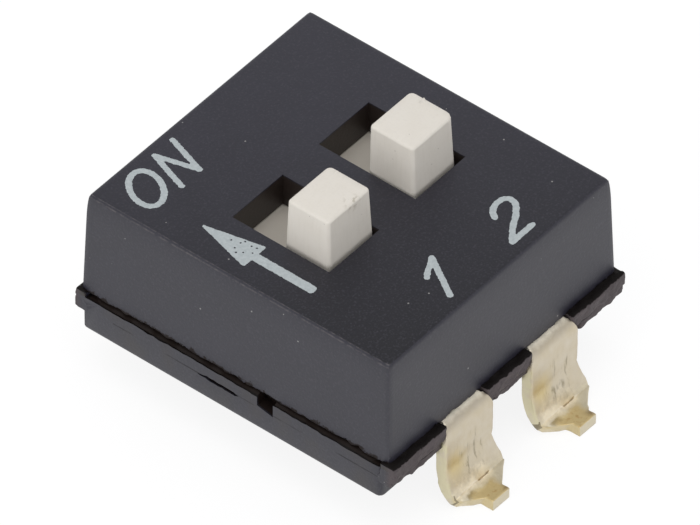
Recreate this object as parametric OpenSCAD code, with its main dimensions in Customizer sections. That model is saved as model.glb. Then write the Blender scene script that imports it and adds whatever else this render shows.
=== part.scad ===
// Two-position slide switch in a dual in-line package, for surface mounting.
// X runs from position 1 to position 2, +Y points to ON and +Z is up.
// The origin lies under the middle of the housing, in the plane of the solder feet.
// Both sliders are drawn at OFF, the -Y end of their travel. All sizes are in millimetres.

/* [Positions] */
// Distance between the two switch positions
pitch = 2.54; // [2.40:0.01:3.20]
// Housing width outside the cell of each outer position
end_margin = 0.81; // [0.66:0.01:1.20]

/* [Knob] */
// Width of the knob's top, across the travel
knob_w = 1.19; // [0.95:0.01:1.50]
// Length of the knob's top, along the travel
knob_l = 0.985; // [0.80:0.005:1.20]
// Height of the knob above the cover
knob_h = 1.05; // [0.20:0.01:1.60]
// Draft of the two side faces, in degrees
knob_side_draft = 2.8; // [0:0.1:4]
// Draft of the OFF-side face, in degrees
knob_off_draft = 3.3; // [0:0.1:4]
// Draft of the ON-side face, in degrees
knob_on_draft = 1.0; // [0:0.1:4]
// Rounding of the knob's edges
knob_r = 0.06; // [0.02:0.01:0.20]

/* [Slider] */
// Travel from OFF to ON
travel = 1.10; // [0.90:0.01:1.32]
// Thickness of the shoe that carries the knob under the cover
shoe_t = 0.45; // [0.36:0.01:0.55]
// Reach of the shoe past the window, at the end of the travel
shoe_lap = 0.19; // [0.10:0.01:0.30]
// Radius of the detent nib on each side of the shoe
nib_r = 0.15; // [0.12:0.01:0.18]
// How far a nib bites into the guide wall between its two pockets
nib_bite = 0.02; // [0:0.005:0.03]

/* [Cover] */
// Overall length at the rim, along the travel
cover_l = 7.43; // [6.90:0.01:8.90]
// Height from the rim to the top face
cover_h = 2.33; // [2.00:0.01:2.80]
// Thickness of the top wall
cover_top_t = 0.75; // [0.50:0.01:0.90]
// Thickness of the side walls at the rim
cover_wall = 0.47; // [0.38:0.01:0.58]
// Draft of the side walls, in degrees
cover_draft = 1.8; // [0:0.1:3]
// Rounding of the top edges
cover_edge_r = 0.14; // [0.04:0.01:0.30]
// Rounding of the vertical corners
cover_corner_r = 0.08; // [0.04:0.01:0.30]

/* [Base] */
// Gap between the circuit board and the underside
standoff = 1.04; // [0.70:0.01:1.40]
// Thickness from the underside to the contact floor
floor_t = 0.92; // [0.80:0.01:1.20]
// Rise from the contact floor to the shoulder under the rim
shoulder_h = 0.04; // [0.02:0.01:0.12]
// Open seam between the shoulder and the rim
seam = 0.07; // [0.04:0.01:0.12]
// How far the base stands proud of the rim, on the sides without terminals
base_lip = 0.08; // [0:0.01:0.12]
// How far the walls behind the terminals stand back from the rim
base_inset = 0.13; // [0.06:0.01:0.20]
// Thickness of the ledge
ledge_t = 0.30; // [0.25:0.01:0.36]
// How far the ledge stands back from the legs
ledge_back = 0.05; // [0:0.01:0.10]
// How far the skirt under the ledge stands proud of the wall
skirt_out = 0.21; // [0.10:0.01:0.25]
// Height of the skirt under the ledge
skirt_h = 0.25; // [0.10:0.01:0.30]
// Thickness of the rib between the two slider channels
rib_t = 0.44; // [0.36:0.01:0.54]
// Width of the guide rail under each edge of a shoe
rail_w = 0.12; // [0.08:0.01:0.18]
// Rounding of the lower edges
base_edge_r = 0.12; // [0.04:0.01:0.16]

/* [Terminals] */
// Width of the strip inside the base
strip_w = 1.06; // [0.90:0.01:1.28]
// Width of the leg outside the base
leg_w = 1.32; // [1.10:0.01:1.56]
// Thickness of the terminal strip
strip_t = 0.25; // [0.20:0.01:0.30]
// Outer radius of the bend over the board side of the ledge
knee_r = 0.28; // [0.26:0.01:0.34]
// Height at which the leg starts to lean outwards
lean_z = 0.88; // [0.75:0.01:1.00]
// How far the leg leans outwards above the foot
lean_out = 0.19; // [0.10:0.01:0.24]
// How far the leg widens on each side above the foot
leg_flare = 0.07; // [0:0.01:0.12]
// Outer radius of the heel
heel_r = 0.50; // [0.34:0.01:0.56]
// Reach of the toe past the face of the leg
toe_out = 0.76; // [0.64:0.01:0.92]
// Width of the toe
toe_w = 0.49; // [0.40:0.01:0.60]

/* [Moving contacts] */
// Thickness of the spring strip
spring_t = 0.10; // [0.08:0.01:0.12]
// Width of the spring strip
spring_w = 0.90; // [0.75:0.01:1.08]
// Width of the slot between the two fingers of each arm
spring_slot = 0.14; // [0.10:0.01:0.18]
// Length of the flat spine under the shoe
spine_l = 0.70; // [0.66:0.01:0.84]
// Slope of the spring arms, in degrees
arm_angle = 70; // [60:1:76]
// Radius of the rounded contact tips
tip_r = 0.20; // [0.16:0.01:0.24]
// Length of insulating floor between the two fixed contacts
insulator_l = 1.10; // [0.92:0.01:1.32]
// Radius of the stake that holds the spring to the shoe
stake_r = 0.16; // [0.12:0.01:0.18]

/* [Clearances] */
// Gap beside the knob, in its window
knob_gap = 0.05; // [0.02:0.01:0.08]
// Gap between the knob and the end of its window
end_gap = 0.05; // [0.02:0.01:0.12]
// Gap beside a shoe, in its channel
shoe_gap = 0.10; // [0.08:0.01:0.14]
// Gap above and below a shoe
slide_gap = 0.03; // [0.01:0.01:0.05]
// Gap between the cover's walls and the ring of the base
fit_gap = 0.03; // [0.01:0.01:0.05]
// Gap beside each terminal, between the ends of the ledge
leg_gap = 0.03; // [0.02:0.01:0.10]
// Gap between a leg and the wall behind it
wall_gap = 0.13; // [0.10:0.01:0.18]
// Gap between a contact tip and the floor
tip_gap = 0.02; // [0:0.01:0.04]

/* [Hidden] */

eps = 0.01;      // overrun of a cutting shape
far = 30;        // length of a cutting shape that goes right through
arc_steps = 6;   // flats in a rounded edge
$fn = 48;

// Levels, from the solder feet upwards
floor_z = standoff + floor_t;
shoulder_z = floor_z + shoulder_h;
rim_z = shoulder_z + seam;
top_z = rim_z + cover_h;
ceiling_z = top_z - cover_top_t;
shoe_top_z = ceiling_z - slide_gap;
shoe_z = shoe_top_z - shoe_t;

// Knob root and its window
root_depth = knob_h + cover_top_t;
root_w = knob_w + 2 * root_depth * tan(knob_side_draft);
root_l = knob_l + root_depth * (tan(knob_off_draft) + tan(knob_on_draft));
window_w = root_w + 2 * knob_gap;
window_l = root_l + travel + 2 * end_gap;

// Shoe and its channel
shoe_w = pitch - rib_t - 2 * shoe_gap;
shoe_l = window_l + travel + 2 * shoe_lap;
channel_w = shoe_w + 2 * shoe_gap;
channel_l = shoe_l + travel + 2 * shoe_gap;
nib_inset = nib_r - shoe_gap - nib_bite;

// Cover, ring and base
cover_w = 2 * pitch + 2 * end_margin;
cavity_w = cover_w - 2 * cover_wall;
cavity_l = cover_l - 2 * cover_wall;
ring_w = cavity_w - 2 * fit_gap;
ring_l = cavity_l - 2 * fit_gap;
ring_corner_r = 0.16;
base_w = cover_w + 2 * base_lip;
base_l = cover_l - 2 * base_inset;
wall_y = base_l / 2;
bead_l = 3.0;                      // snap bead inside each side wall of the cover
bead_h = 0.30;
bead_out = 0.09;
bead_z = (rim_z + ceiling_z) / 2;
base_corner_r = 0.15;
notch = [0.30, 0.34, 0.40];        // pry notch under the rim
notch_y = 0.79;
recess_t = 0.10;                   // shallow recess in the underside
recess_margin = 0.75;
pin_hole_r = 0.30;                 // moulding-pin hole under each strip
pin_hole_y = 2.1;

// Terminals
leg_y = wall_y + wall_gap + strip_t;
ledge_y = leg_y - ledge_back;
crease_y = leg_y + lean_out;
toe_y = leg_y + toe_out;
lean = atan2(lean_out, lean_z - strip_t);
neck_l = 0.38;                     // the strip widens over this stretch of the bend
foot_taper = [0.04, 0.40];         // the foot narrows over this stretch beyond the crease
foot_tilt = 30;                    // slant of the narrowing edges, from upright
flare_z = 0.55;                    // the leg is fully widened below this height
barb = [0.14, 0.24];               // anchoring notch in each edge of a strip
barb_y = (ring_l / 2 + channel_l / 2) / 2;

// Springs
spring_h = shoe_z - floor_z - tip_gap - spring_t;
bend_r = tip_r;
arm_l = (spring_h - (bend_r + tip_r) * (1 - cos(arm_angle))) / sin(arm_angle);
tip_y = spine_l / 2 + (bend_r + tip_r) * sin(arm_angle) + arm_l * cos(arm_angle);
flick = 45;                        // upward turn past each contact tip, in degrees
off_tip_y = tip_y - travel / 2;    // the ON-side tip, with the slider at OFF
stake_gap = 0.03;
stake_head_r = 0.26;
stake_head_t = 0.07;

// Middle of a position, counted from 1
function position_x(i) = (i - 1.5) * pitch;

// Points of an arc round c, from angle a to angle b
function arc(c, r, a, b) =
    [for (i = [0:arc_steps]) let (t = a + (b - a) * i / arc_steps) c + r * [cos(t), sin(t)]];

// Outline of a block with drafted sides and rounded upper corners, standing on [lo, hi]
function drafted(lo, hi, h, lo_draft, hi_draft, r) = concat(
    [[lo, 0], [hi, 0]],
    arc([hi - h * tan(hi_draft) - r * tan(45 - hi_draft / 2), h - r], r, hi_draft, 90),
    arc([lo + h * tan(lo_draft) + r * tan(45 - lo_draft / 2), h - r], r, 90, 180 - lo_draft));

// Outline of a rectangle with its four corners rounded
function rounded(w, l, r) = concat(
    arc([w / 2 - r, l / 2 - r], r, 0, 90), arc([r - w / 2, l / 2 - r], r, 90, 180),
    arc([r - w / 2, r - l / 2], r, 180, 270), arc([w / 2 - r, r - l / 2], r, 270, 360));

// Unit vector square to the path at point i
function across(path, i) =
    let (a = path[max(i - 1, 0)], b = path[min(i + 1, len(path) - 1)], d = (b - a) / norm(b - a))
    [-d[1], d[0]];

// Outline of a strip of thickness t along a path
function strip(path, t) = concat(
    [for (i = [0:len(path) - 1]) path[i] + t / 2 * across(path, i)],
    [for (i = [len(path) - 1:-1:0]) path[i] - t / 2 * across(path, i)]);

// A Y-Z outline made solid along X, and an X-Z outline made solid along Y
module along_x(w, outline) rotate([90, 0, 90]) linear_extrude(w, center = true) polygon(outline);
module along_y(l, outline) rotate([90, 0, 0]) linear_extrude(l, center = true) polygon(outline);

// Copies at both ends of the switch, the second turned half round
module both_ways() {
    children();
    rotate(180) children();
}

// Block with drafted sides, drafts = [-X, +X, -Y, +Y], rounded along its top edges and corners
module drafted_block(w, l, h, drafts, edge_r, corner_r) {
    intersection() {
        along_y(l, drafted(-w / 2, w / 2, h, drafts[0], drafts[1], edge_r));
        along_x(w, drafted(-l / 2, l / 2, h, drafts[2], drafts[3], edge_r));
        linear_extrude(h) polygon(rounded(w, l, corner_r));
    }
}

// Moulded lid with two windows, five walls and a snap bead inside each side
module cover() {
    color("#3f3f45") {
        difference() {
            translate([0, 0, rim_z])
                drafted_block(cover_w, cover_l, cover_h, cover_draft * [1, 1, 1, 1],
                              cover_edge_r, cover_corner_r);
            translate([0, 0, rim_z - eps])
                linear_extrude(ceiling_z - rim_z + eps)
                    polygon(rounded(cavity_w, cavity_l, ring_corner_r + fit_gap));
            for (i = [1, 2])
                translate([position_x(i) - window_w / 2, -window_l / 2, ceiling_z - eps])
                    cube([window_w, window_l, cover_top_t + 2 * eps]);
        }
        both_ways() snap_bead(0);
    }
}

// Triangular bead on the inner side wall, grown by gap to cut its groove
module snap_bead(gap) {
    reach = bead_out + gap;
    half = bead_h / 2 + gap;
    translate([cavity_w / 2, 0, bead_z])
        along_y(bead_l + 2 * gap, [[eps, -half], [eps, half], [0, half], [-reach, 0], [0, -half]]);
}

// Moulded base: tray, ledges between the terminals, and the ring that holds the cover
module base() {
    color("#434247")
        difference() {
            union() {
                translate([0, 0, shoulder_z])
                    mirror([0, 0, 1])
                        drafted_block(base_w, base_l, shoulder_z - standoff, [1, 1, 1, 1],
                                      base_edge_r, base_corner_r);
                both_ways() ledge();
                translate([0, 0, floor_z])
                    linear_extrude(ceiling_z - floor_z) polygon(rounded(ring_w, ring_l, ring_corner_r));
            }
            for (i = [1, 2])
                translate([position_x(i), 0, 0]) {
                    slider_channel();
                    strip_pockets();
                }
            both_ways() {
                snap_bead(fit_gap);
                translate([notch[0] / 2 - base_w / 2 - eps, -notch_y, shoulder_z - notch[2] / 2 + eps])
                    cube(notch + [2, 0, 2] * eps, center = true);
            }
            translate([0, 0, standoff - eps])
                linear_extrude(recess_t + eps)
                    polygon(rounded(base_w - 2 * recess_margin, base_l - 2 * recess_margin, ring_corner_r));
        }
}

// Ledge and skirt along the +Y side, broken at each terminal
module ledge() {
    gap_w = leg_w + 2 * leg_gap;
    skirt_y = wall_y + skirt_out;
    ledge_z = shoulder_z - ledge_t;
    skirt_z = ledge_z - skirt_h;
    inner_y = wall_y - cover_wall;
    outline = [[inner_y, shoulder_z], [ledge_y, shoulder_z], [ledge_y, ledge_z], [skirt_y, ledge_z],
               [skirt_y, skirt_z], [wall_y - 0.02, skirt_z - skirt_out], [inner_y, skirt_z - skirt_out]];
    ends = [-base_w / 2, position_x(1) - gap_w / 2, position_x(1) + gap_w / 2,
            position_x(2) - gap_w / 2, position_x(2) + gap_w / 2, base_w / 2];
    intersection() {
        along_x(base_w, outline);
        linear_extrude(far)
            for (i = [0, 2, 4])
                translate([(ends[i] + ends[i + 1]) / 2, inner_y])
                    polygon(rounded(ends[i + 1] - ends[i], 2 * (ledge_y - inner_y), i == 2 ? 0.12 : 0.05));
    }
}

// Space for one slider: the shoe's channel, the narrower spring well and the detent pockets
module slider_channel() {
    translate([0, 0, floor_z + far / 2])
        cube([channel_w - 2 * rail_w - 2 * shoe_gap, channel_l, far], center = true);
    translate([0, 0, shoe_z - slide_gap + far / 2])
        cube([channel_w, channel_l, far], center = true);
    for (side = [-1, 1], end = [-1, 1])
        translate([side * (shoe_w / 2 - nib_inset), end * travel / 2, shoe_z - slide_gap])
            cylinder(r = nib_r + slide_gap, h = far);
}

// Everything of the two strips of one position that the base is moulded round
module strip_pockets() {
    translate([0, 0, floor_z - strip_t])
        linear_extrude(strip_t + eps) {
            strip_plan(front_pad_y());
            mirror([0, 1]) strip_plan(rear_pad_y());
        }
    for (side = [-1, 1])
        translate([0, side * pin_hole_y, standoff - eps])
            cylinder(r = pin_hole_r, h = floor_t - strip_t + 2 * eps);
}

// Inner ends of the two fixed contacts, each counted as a distance into its own side
function front_pad_y() = insulator_l / 2 - off_tip_y;
function rear_pad_y() = insulator_l / 2 + off_tip_y;

// Flat part of a strip that reaches from the -Y wall to pad_y, with its anchoring notches
module strip_plan(pad_y) {
    difference() {
        translate([-strip_w / 2, -wall_y]) square([strip_w, wall_y - pad_y]);
        for (side = [-1, 1])
            translate([side * strip_w / 2, -barb_y]) square([2 * barb[0], barb[1]], center = true);
    }
}

// Sliding actuator: knob, shoe, detent nibs and the stake that holds its spring
module slider(i) {
    color("#dcd7cd")
        translate([position_x(i), -travel / 2, 0]) {
            translate([0, 0, shoe_z]) {
                translate([0, 0, shoe_t / 2]) cube([shoe_w, shoe_l, shoe_t], center = true);
                for (side = [-1, 1])
                    translate([side * (shoe_w / 2 - nib_inset), 0, 0]) cylinder(r = nib_r, h = shoe_t);
            }
            knob();
            translate([0, 0, shoe_z - spring_t - eps]) cylinder(r = stake_r, h = spring_t + 2 * eps);
            translate([0, 0, shoe_z - spring_t - stake_head_t]) cylinder(r = stake_head_r, h = stake_head_t);
        }
}

// Tapered knob with its root on the shoe
module knob() {
    translate([0, 0, shoe_top_z - eps])
        drafted_block(root_w, root_l, root_depth + slide_gap + eps,
                      [knob_side_draft, knob_side_draft, knob_off_draft, knob_on_draft], knob_r, 2 * knob_r);
}

// Stamped bridging spring: a spine staked to the shoe and two split arms that wipe the floor
module moving_contact(i) {
    spine_z = shoe_z - spring_t / 2;
    knee = [spine_l / 2, spine_z - bend_r];
    tip = [tip_y, floor_z + tip_gap + spring_t / 2 + tip_r];
    half = concat([[0, spine_z]], arc(knee, bend_r, 90, 90 - arm_angle),
                  arc(tip, tip_r, 270 - arm_angle, 270 + flick));
    mirrored = [for (n = [len(half) - 1:-1:1]) [-half[n][0], half[n][1]]];
    color("#c9a45c")
        translate([position_x(i), -travel / 2, 0])
            difference() {
                along_x(spring_w, strip(concat(mirrored, half), spring_t));
                for (side = [-1, 1])
                    translate([0, side * (spine_l / 2 + far / 2), 0])
                        cube([spring_slot, far, far], center = true);
                translate([0, 0, shoe_z - spring_t - eps])
                    cylinder(r = stake_r + stake_gap, h = spring_t + 2 * eps);
            }
}

// Stamped terminal of the -Y side: fixed contact, moulded-in strip, leg and foot
module terminal(i, pad_y) {
    color("#cdbf9f")
        translate([position_x(i), 0, 0]) {
            translate([0, 0, floor_z - strip_t])
                linear_extrude(strip_t) strip_plan(pad_y);
            mirror([0, 1, 0])
                intersection() {
                    along_x(far, leg_outline());
                    along_y(far, leg_front());
                    slanted([0, leg_y - knee_r, floor_z], 45) polygon(neck_plan());
                    slanted([0, crease_y, strip_t], foot_tilt) polygon(foot_plan());
                }
        }
}

// Side view of the leg, from the wall of the base to the toe
function leg_outline() =
    let (back_z = lean_z - strip_t * tan(lean / 2),
         heel_y = leg_y - strip_t + (back_z - heel_r) * tan(lean) + heel_r / cos(lean))
    concat([[wall_y - eps, floor_z]],
           arc([leg_y - knee_r, floor_z - knee_r], knee_r, 90, 0),
           [[leg_y, lean_z], [crease_y, strip_t], [toe_y, strip_t], [toe_y, 0]],
           arc([heel_y, heel_r], heel_r, 270, 180 + lean),
           [[leg_y - strip_t, back_z], [leg_y - strip_t, floor_z - strip_t],
            [wall_y - eps, floor_z - strip_t]]);

// Front view of the leg, which widens towards the foot
function leg_front() =
    let (w = leg_w / 2, low_w = w + leg_flare)
    [[-w, far], [-w, lean_z], [-low_w, flare_z], [-low_w, -eps],
     [low_w, -eps], [low_w, flare_z], [w, lean_z], [w, far]];

// Plan of the bend, which widens from the strip to the leg
function neck_plan() =
    [[-strip_w / 2, -far], [strip_w / 2, -far], [strip_w / 2, 0], [leg_w / 2, neck_l],
     [far, neck_l], [far, far], [-far, far], [-far, neck_l], [-leg_w / 2, neck_l], [-strip_w / 2, 0]];

// Plan of the foot, which narrows from the leg to the toe
function foot_plan() =
    let (w = leg_w / 2 + leg_flare, start = foot_taper[0] * cos(foot_tilt), end = foot_taper[1] * cos(foot_tilt))
    [[-w, -far], [w, -far], [w, start], [toe_w / 2, end], [toe_w / 2, far],
     [-toe_w / 2, far], [-toe_w / 2, end], [-w, start]];

// Plan through a point, made solid upwards and downwards along a line that leans to +Y
module slanted(point, lean)
    translate(point) rotate([-lean, 0, 0]) linear_extrude(2 * far, center = true) children();

module slider_1() slider(1);
module slider_2() slider(2);
module moving_contact_1() moving_contact(1);
module moving_contact_2() moving_contact(2);
module front_terminal_1() terminal(1, front_pad_y());
module front_terminal_2() terminal(2, front_pad_y());
module rear_terminal_1() mirror([0, 1, 0]) terminal(1, rear_pad_y());
module rear_terminal_2() mirror([0, 1, 0]) terminal(2, rear_pad_y());

cover();
base();
slider_1();
slider_2();
moving_contact_1();
moving_contact_2();
front_terminal_1();
front_terminal_2();
rear_terminal_1();
rear_terminal_2();
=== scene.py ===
# Two-position slide switch in a dual in-line package, soldered flat on a board.
# Each piece is drawn in millimetres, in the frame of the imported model, and brought to metres when it is done.
import math

import bpy
from mathutils import Matrix, Vector


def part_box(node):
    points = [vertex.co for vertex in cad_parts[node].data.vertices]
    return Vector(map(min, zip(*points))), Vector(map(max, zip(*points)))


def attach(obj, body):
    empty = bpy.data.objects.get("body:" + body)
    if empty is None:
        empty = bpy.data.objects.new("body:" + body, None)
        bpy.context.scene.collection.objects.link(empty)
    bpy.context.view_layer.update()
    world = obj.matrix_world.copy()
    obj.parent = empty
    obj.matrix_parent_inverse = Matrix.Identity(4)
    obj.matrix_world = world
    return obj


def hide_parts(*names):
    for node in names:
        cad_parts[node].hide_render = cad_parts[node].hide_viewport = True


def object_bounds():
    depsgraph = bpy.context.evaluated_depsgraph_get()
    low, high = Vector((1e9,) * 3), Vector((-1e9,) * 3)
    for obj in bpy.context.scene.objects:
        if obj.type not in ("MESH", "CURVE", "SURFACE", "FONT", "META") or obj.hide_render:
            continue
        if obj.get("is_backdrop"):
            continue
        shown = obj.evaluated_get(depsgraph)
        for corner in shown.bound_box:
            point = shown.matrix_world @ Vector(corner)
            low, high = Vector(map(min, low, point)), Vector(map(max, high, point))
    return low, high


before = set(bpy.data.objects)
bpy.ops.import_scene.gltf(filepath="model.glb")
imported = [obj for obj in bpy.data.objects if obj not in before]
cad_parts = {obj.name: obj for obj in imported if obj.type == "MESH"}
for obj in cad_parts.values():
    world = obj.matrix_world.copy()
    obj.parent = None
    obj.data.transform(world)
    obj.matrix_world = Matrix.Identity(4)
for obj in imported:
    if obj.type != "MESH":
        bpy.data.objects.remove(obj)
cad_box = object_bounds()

# ---------------------------------------------------------------------------
# Camera. The switch is seen from above its front left corner, through a long
# lens, so that its edges stay almost parallel.
# ---------------------------------------------------------------------------
MM = 0.001

cover_low, cover_high = (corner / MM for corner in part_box("cover"))
aim = Vector((-1.561, -1.301, cover_high.z - 0.004)) * MM
heading, drop, roll = math.radians(50.83), math.radians(44.11), math.radians(0.18)
distance, lens, sensor = 0.3105, 860.3, 36.0

sight = Vector((math.sin(heading) * math.cos(drop), math.cos(heading) * math.cos(drop), -math.sin(drop)))
bpy.ops.object.camera_add(location=aim - sight * distance)
camera = bpy.context.object
camera.rotation_euler = (sight.to_track_quat("-Z", "Y").to_matrix() @ Matrix.Rotation(roll, 3, "Z")).to_euler()
camera.data.lens = lens
camera.data.sensor_width = sensor
camera.data.clip_start = 0.01
camera.data.clip_end = 5.0
bpy.context.scene.camera = camera
bpy.context.scene.view_settings.view_transform = "Standard"

# ---------------------------------------------------------------------------
# Studio. A white table in a light tent with bright walls and a dimmer roof,
# a softbox above and a second one on the left.
# ---------------------------------------------------------------------------


def linear(code):
    """Linear colour of an sRGB hex value."""
    values = [int(code[i:i + 2], 16) / 255 for i in (1, 3, 5)]
    return [v / 12.92 if v <= 0.04045 else ((v + 0.055) / 1.055) ** 2.4 for v in values] + [1.0]


def node(tree, kind, inputs=(), **settings):
    """Adds a shader node. Each input is a value, an output to link from, or a node whose first output is meant."""
    made = tree.nodes.new("ShaderNode" + kind)
    for name, value in settings.items():
        setattr(made, name, value)
    for socket, value in dict(inputs).items():
        if isinstance(value, bpy.types.Node):
            value = value.outputs[0]
        if isinstance(value, bpy.types.NodeSocket):
            tree.links.new(value, made.inputs[socket])
        else:
            made.inputs[socket].default_value = value
    return made


WALL_LEVEL, ROOF_LEVEL = 0.85, 0.45
GLOW, GLOW_SHARE = 1.08, 0.80       # the table as it is seen is part paper, part light
# for each softbox: place, size and power
SOFTBOXES = (((-0.05, -0.03, 0.35), 0.30, 0.44), ((-0.36, -0.02, 0.16), 0.26, 0.23))

tent = bpy.data.worlds.new("light_tent")
tent.use_nodes = True
tree = tent.node_tree
tree.nodes.clear()
up = node(tree, "SeparateXYZ", {0: node(tree, "TexCoord").outputs["Generated"]})
tall = node(tree, "MapRange", {"Value": up.outputs["Z"], "From Min": 0.30, "From Max": 1.00,
                               "To Min": WALL_LEVEL, "To Max": ROOF_LEVEL})
rays = node(tree, "LightPath")
seen = node(tree, "Math", {0: rays.outputs["Is Camera Ray"], 1: rays.outputs["Is Transmission Ray"]},
            operation="MAXIMUM")
level = node(tree, "Mix", {0: seen, 2: tall, 3: 1.0})
wall = node(tree, "Background", {"Color": linear("#fdfdff"), "Strength": level})
node(tree, "OutputWorld", {"Surface": wall})
bpy.context.scene.world = tent

bpy.ops.mesh.primitive_plane_add(size=2.0, location=(0, 0, 0))
table = bpy.context.object
table.name = "table"
surface = bpy.data.materials.new("white_paper")
surface.use_nodes = True
tree = surface.node_tree
tree.nodes.clear()
rays = node(tree, "LightPath")
seen = node(tree, "Math", {0: rays.outputs["Is Camera Ray"], 1: rays.outputs["Is Glossy Ray"]}, operation="MAXIMUM")
seen = node(tree, "Math", {0: seen, 1: rays.outputs["Is Transmission Ray"]}, operation="MAXIMUM")
share = node(tree, "Math", {0: seen, 1: GLOW_SHARE}, operation="MULTIPLY")
paper = node(tree, "BsdfDiffuse", {"Color": linear("#eeeeee")})
glow = node(tree, "Emission", {"Color": linear("#ffffff"), "Strength": GLOW})
both = node(tree, "MixShader", {0: share, 1: paper, 2: glow})
node(tree, "OutputMaterial", {"Surface": both})
table.data.materials.append(surface)
table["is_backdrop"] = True

for place, size, power in SOFTBOXES:
    bpy.ops.object.light_add(type="AREA", location=place)
    softbox = bpy.context.object
    softbox.data.shape = "SQUARE"
    softbox.data.size = size
    softbox.data.energy = power
    softbox.rotation_euler = (softbox.location - Vector((0, 0, 0.003))).to_track_quat("Z", "Y").to_euler()

# ---------------------------------------------------------------------------
# Cover. Black PBT lid, moulded with a slight draft and satin walls, pushed
# over the base and held inside by two snap beads. Two windows let the knobs
# through.
# ---------------------------------------------------------------------------


def take(piece=None):
    """Leaves edit mode with nothing selected but the piece, if one is given."""
    if bpy.context.mode != "OBJECT":
        bpy.ops.object.mode_set(mode="OBJECT")
    bpy.ops.object.select_all(action="DESELECT")
    if piece:
        piece.select_set(True)
        bpy.context.view_layer.objects.active = piece


def block(name, low, high):
    """A cube between two corners, in millimetres."""
    take()
    bpy.ops.mesh.primitive_cube_add(size=1, location=(Vector(low) + Vector(high)) / 2)
    piece = bpy.context.object
    piece.name = name
    piece.scale = Vector(high) - Vector(low)
    bpy.ops.object.transform_apply()
    return piece


def pick(piece, kind, test):
    """Opens a piece in edit mode, with each corner, edge or face selected whose middle and direction pass a test."""
    take(piece)
    bpy.ops.object.mode_set(mode="EDIT")
    bpy.ops.mesh.select_mode(type=kind)
    bpy.ops.mesh.select_all(action="DESELECT")
    bpy.ops.object.mode_set(mode="OBJECT")
    mesh = piece.data
    if kind == "FACE":
        for face in mesh.polygons:
            face.select = test(face.center, face.normal)
    elif kind == "EDGE":
        for edge in mesh.edges:
            a, b = (mesh.vertices[i].co for i in edge.vertices)
            edge.select = test((a + b) / 2, (b - a).normalized())
    else:
        for corner in mesh.vertices:
            corner.select = test(corner.co, corner.normal)
    bpy.ops.object.mode_set(mode="EDIT")


def cut(piece, axis, places):
    """Scores a piece all round at each place along an axis."""
    along = Vector([a == axis for a in "xyz"])
    pick(piece, "FACE", lambda at, way: True)
    for place in places:
        bpy.ops.mesh.select_all(action="SELECT")
        bpy.ops.mesh.bisect(plane_co=along * place, plane_no=along)


def apply(piece, kind, **settings):
    """Adds a modifier and applies it."""
    take(piece)
    modifier = piece.modifiers.new(kind.lower(), kind)
    for name, value in settings.items():
        setattr(modifier, name, value)
    bpy.ops.object.modifier_apply(modifier=modifier.name)


def combine(piece, other, operation):
    """Joins another solid to a piece, or cuts it out of the piece."""
    apply(piece, "BOOLEAN", object=other, operation=operation, solver="EXACT")
    bpy.data.objects.remove(other)


def close(a, b, painted_shade_bounds=0.004):
    """Whether two measures in millimetres are nearly the same."""
    return abs(a - b) < painted_shade_bounds


def fresh(name):
    """A new material, with its tree, its shader and the coordinates that its textures follow."""
    material = bpy.data.materials.new(name)
    material.use_nodes = True
    tree = material.node_tree
    return material, tree, tree.nodes["Principled BSDF"], node(tree, "TexCoord").outputs["Object"]


def stain(tone, code, share, *masks):
    """Lays a share of a colour over the tone, where all the masks meet, in the tree at hand."""
    for mask in masks:
        share = node(tree, "Math", {0: share, 1: mask}, operation="MULTIPLY")
    return node(tree, "Mix", {0: share, 6: tone, 7: linear(code)}, data_type="RGBA").outputs[2]


def finish_piece(piece, material, body):
    """Brings a piece to metres, gives it its finish and puts it on its body."""
    take(piece)
    piece.scale = (MM, MM, MM)
    bpy.ops.object.transform_apply()
    bpy.ops.object.shade_smooth_by_angle(angle=SMOOTH)
    apply(piece, "WEIGHTED_NORMAL", keep_sharp=True, weight=100)
    piece.data.materials.clear()
    piece.data.materials.append(material)
    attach(piece, body)


SMOOTH = math.radians(35)                 # edges that turn by more than this stay sharp
WALL_T, TOP_T = 0.47, 0.75                # side walls at the rim, top wall
DRAFT = math.radians(1.8)
RIM_Z = cover_low.z - 0.09                # the rim hangs a little below its seat
# how far the wall leans in, at each depth below the top
CROWN = ((0.50, 0.0), (0.38, 0.002), (0.26, 0.006), (0.16, 0.012), (0.0, 0.026))
RIM_R, RIM_FULLNESS = 0.14, 0.75          # the roundings run out softly into the flats
CORNER_R, CORNER_FULLNESS = 0.22, 0.90
INNER_R, WINDOW_R = 0.19, 0.02            # inside the standing corners, and round the windows
WINDOW_W, WINDOW_L = 1.466, 2.32
RIM_BAND = 0.10                           # height of the band that is waved
RIM_WAVES = ((13, 0.060, 3), (3, 0.022, 4))   # cuts in each edge, how far they wander, seed
FLAT = 0.15                               # share of the wandering that is left across the wall

cover = block("cover_shell", (cover_low.x, cover_low.y, RIM_Z), cover_high)
ceiling = cover_high.z - TOP_T

# hollow it out from below
pick(cover, "FACE", lambda at, way: way.z < -0.9)
bpy.ops.mesh.inset(thickness=WALL_T)
bpy.ops.mesh.extrude_region_move(TRANSFORM_OT_translate={"value": (0, 0, ceiling - RIM_Z)})

# draft the outside
pick(cover, "FACE", lambda at, way: way.z > 0.9 and close(at.z, cover_high.z))
taper = (cover_high.z - RIM_Z) * math.tan(DRAFT)
bpy.ops.transform.resize(value=(1 - taper / cover_high.x, 1 - taper / cover_high.y, 1),
                         center_override=(0, 0, cover_high.z))

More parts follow.
